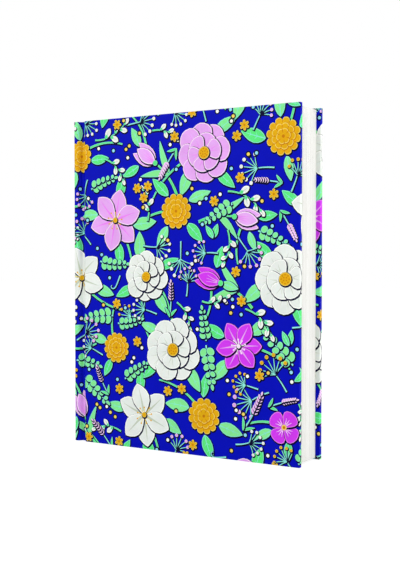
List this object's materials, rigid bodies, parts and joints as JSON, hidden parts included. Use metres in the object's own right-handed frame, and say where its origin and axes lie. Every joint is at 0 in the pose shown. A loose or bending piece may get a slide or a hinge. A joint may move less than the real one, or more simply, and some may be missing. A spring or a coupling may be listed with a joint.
{
  "type": "hardcover lined notebook",
  "caption": "Upright hardcover notebook: printed paper over boards, grooved joints, flat hollow spine and a sewn block of lined leaves; both covers open and it lies flat.",
  "frame": {"origin": "middle of the footprint, on the surface the notebook stands on", "axes": "+Z from tail to head, the front cover faces -Y, the spine is at -X and the fore edge at +X"},
  "size_m": [0.1688, 0.0314, 0.216],
  "materials": {
    "printed_wrap": "printed floral, smooth laminate",
    "grey_board": "matte",
    "endpaper": "matte",
    "page_paper": "matte, ruled",
    "kraft_paper": "matte",
    "gauze": "open weave",
    "sewing_thread": "matte",
    "woven_band": "woven"
  },
  "bodies": {
    "spine": {"spine_board": "grey_board", "spine_wrap": "printed_wrap", "spine_kraft_lining": "kraft_paper", "spine_mull": "gauze", "sewing_thread_1": "sewing_thread", "sewing_thread_2": "sewing_thread", "sewing_thread_3": "sewing_thread", "sewing_thread_4": "sewing_thread", "sewing_thread_5": "sewing_thread", "head_band": "woven_band", "tail_band": "woven_band"},
    "front_half": {"front_joint_wrap": "printed_wrap", "front_joint_lining": "endpaper", "front_flyleaf": "endpaper", "section_01": "page_paper"},
    "front_cover": {"front_board": "grey_board", "front_cover_wrap": "printed_wrap", "front_pastedown": "endpaper"},
    "section_02": {"section_02": "page_paper"},
    "section_03": {"section_03": "page_paper"},
    "section_04": {"section_04": "page_paper"},
    "section_05": {"section_05": "page_paper"},
    "section_06": {"section_06": "page_paper"},
    "back_half": {"back_joint_wrap": "printed_wrap", "back_joint_lining": "endpaper", "back_flyleaf": "endpaper", "section_12": "page_paper"},
    "back_cover": {"back_board": "grey_board", "back_cover_wrap": "printed_wrap", "back_pastedown": "endpaper"},
    "section_11": {"section_11": "page_paper"},
    "section_10": {"section_10": "page_paper"},
    "section_09": {"section_09": "page_paper"},
    "section_08": {"section_08": "page_paper"},
    "section_07": {"section_07": "page_paper"}
  },
  "joints": [
    {"name": "front_opening", "type": "hinge", "parent": "spine", "child": "front_half", "pos_m": [-0.08422, -0.01551, 0.108], "axis": [0, 0, -1], "range_deg": [0, 90]},
    {"name": "front_cover_swing", "type": "hinge", "parent": "front_half", "child": "front_cover", "pos_m": [-0.07573, -0.01295, 0.108], "axis": [0, 0, -1], "range_deg": [0, 90]},
    {"name": "section_02_shift", "type": "slide", "parent": "front_half", "child": "section_02", "axis": [-1, 0, 0], "range_m": [0, 0.0035]},
    {"name": "section_03_shift", "type": "slide", "parent": "front_half", "child": "section_03", "axis": [-1, 0, 0], "range_m": [0, 0.007]},
    {"name": "section_04_shift", "type": "slide", "parent": "front_half", "child": "section_04", "axis": [-1, 0, 0], "range_m": [0, 0.0105]},
    {"name": "section_05_shift", "type": "slide", "parent": "front_half", "child": "section_05", "axis": [-1, 0, 0], "range_m": [0, 0.014]},
    {"name": "section_06_shift", "type": "slide", "parent": "front_half", "child": "section_06", "axis": [-1, 0, 0], "range_m": [0, 0.0175]},
    {"name": "back_opening", "type": "hinge", "parent": "spine", "child": "back_half", "pos_m": [-0.08422, 0.01551, 0.108], "axis": [0, 0, 1], "range_deg": [0, 90]},
    {"name": "back_cover_swing", "type": "hinge", "parent": "back_half", "child": "back_cover", "pos_m": [-0.07573, 0.01295, 0.108], "axis": [0, 0, 1], "range_deg": [0, 90]},
    {"name": "section_11_shift", "type": "slide", "parent": "back_half", "child": "section_11", "axis": [-1, 0, 0], "range_m": [0, 0.0035]},
    {"name": "section_10_shift", "type": "slide", "parent": "back_half", "child": "section_10", "axis": [-1, 0, 0], "range_m": [0, 0.007]},
    {"name": "section_09_shift", "type": "slide", "parent": "back_half", "child": "section_09", "axis": [-1, 0, 0], "range_m": [0, 0.0105]},
    {"name": "section_08_shift", "type": "slide", "parent": "back_half", "child": "section_08", "axis": [-1, 0, 0], "range_m": [0, 0.014]},
    {"name": "section_07_shift", "type": "slide", "parent": "back_half", "child": "section_07", "axis": [-1, 0, 0], "range_m": [0, 0.0175]}
  ],
  "couplings": [
    {"joint": "section_02_shift", "follows": "front_opening", "m_per_rad": 0.002228},
    {"joint": "section_03_shift", "follows": "front_opening", "m_per_rad": 0.004456},
    {"joint": "section_04_shift", "follows": "front_opening", "m_per_rad": 0.006684},
    {"joint": "section_05_shift", "follows": "front_opening", "m_per_rad": 0.008912},
    {"joint": "section_06_shift", "follows": "front_opening", "m_per_rad": 0.01114},
    {"joint": "section_11_shift", "follows": "back_opening", "m_per_rad": 0.002228},
    {"joint": "section_10_shift", "follows": "back_opening", "m_per_rad": 0.004456},
    {"joint": "section_09_shift", "follows": "back_opening", "m_per_rad": 0.006684},
    {"joint": "section_08_shift", "follows": "back_opening", "m_per_rad": 0.008912},
    {"joint": "section_07_shift", "follows": "back_opening", "m_per_rad": 0.01114}
  ]
}
